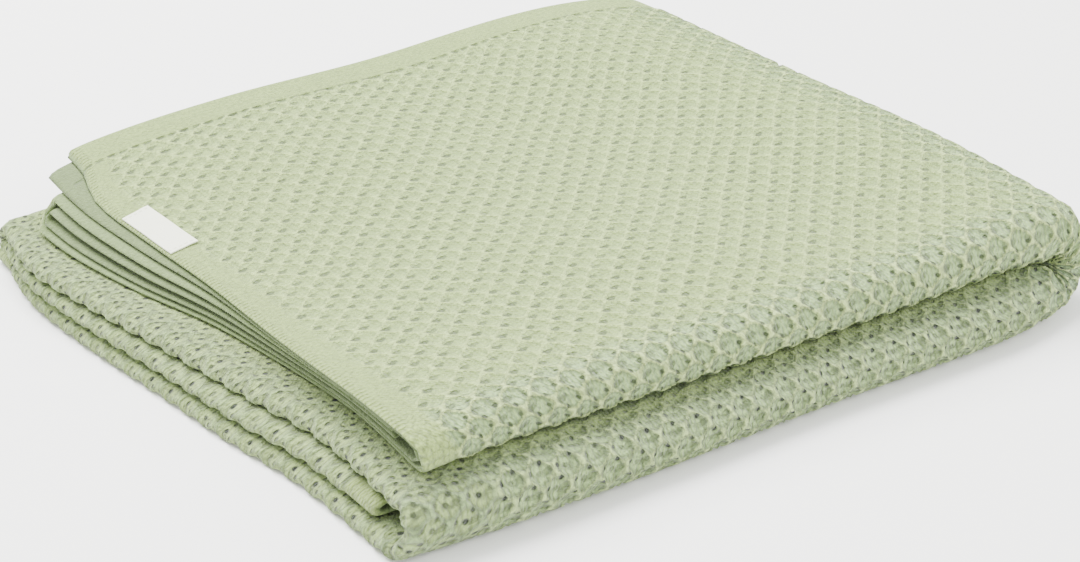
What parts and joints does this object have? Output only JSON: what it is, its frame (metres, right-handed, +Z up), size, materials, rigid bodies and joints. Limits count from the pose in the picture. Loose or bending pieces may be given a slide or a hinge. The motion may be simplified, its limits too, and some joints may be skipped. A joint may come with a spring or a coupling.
{
  "type": "folded crib blanket",
  "caption": "Crib blanket of honeycomb-knit cotton with plain hem bands and a small bare sewn label, folded into a flat, nearly square pack that rests on a surface",
  "frame": {"origin": "under the middle of the bounding box, on the surface that the blanket rests on", "axes": "+X runs along the front from the open hems to the round fold, +Y from the front fold to the hem at the back, +Z up"},
  "size_m": [0.2912, 0.2562, 0.0363],
  "materials": {
    "knit": "matt knitted cotton, pale sage green",
    "label": "plain woven, off-white"
  },
  "bodies": {
    "root": {"blanket": "knit", "label": "label"}
  },
  "joints": []
}
